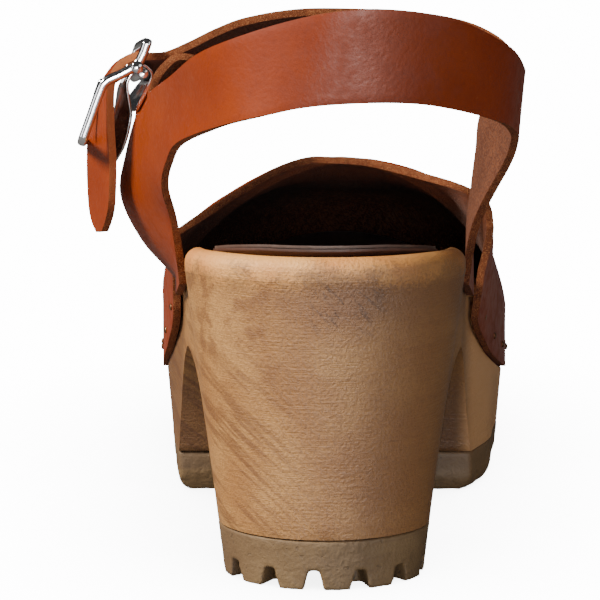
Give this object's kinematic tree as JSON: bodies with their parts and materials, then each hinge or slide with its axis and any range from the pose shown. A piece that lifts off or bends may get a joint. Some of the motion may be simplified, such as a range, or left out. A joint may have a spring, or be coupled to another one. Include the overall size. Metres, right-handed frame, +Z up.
{
  "type": "clog sandal",
  "caption": "Closed-toe clog sandal for a left foot: high wooden sole with lugged rubber treads, leather vamp and a buckled ankle strap that slings round the heel.",
  "frame": {"origin": "on the floor, under the middle of the box round the whole sandal", "axes": "+X to the inner side of the left foot, +Y from heel to toe, +Z up"},
  "size_m": [0.115, 0.2527, 0.1406],
  "materials": {
    "wood": "brushed, oiled wood",
    "insole_leather": "matte",
    "crepe_rubber": "matte",
    "tan_leather": "satin grain with raw cut edges",
    "chrome": "polished"
  },
  "bodies": {
    "root": {"wood_sole": "wood", "insole": "insole_leather", "heel_tread": "crepe_rubber", "forefoot_tread": "crepe_rubber", "vamp": "tan_leather", "ankle_strap": "tan_leather", "buckle_frame": "chrome", "buckle_bar": "chrome", "buckle_prong": "chrome", "clasp_hook": "chrome"}
  },
  "joints": []
}
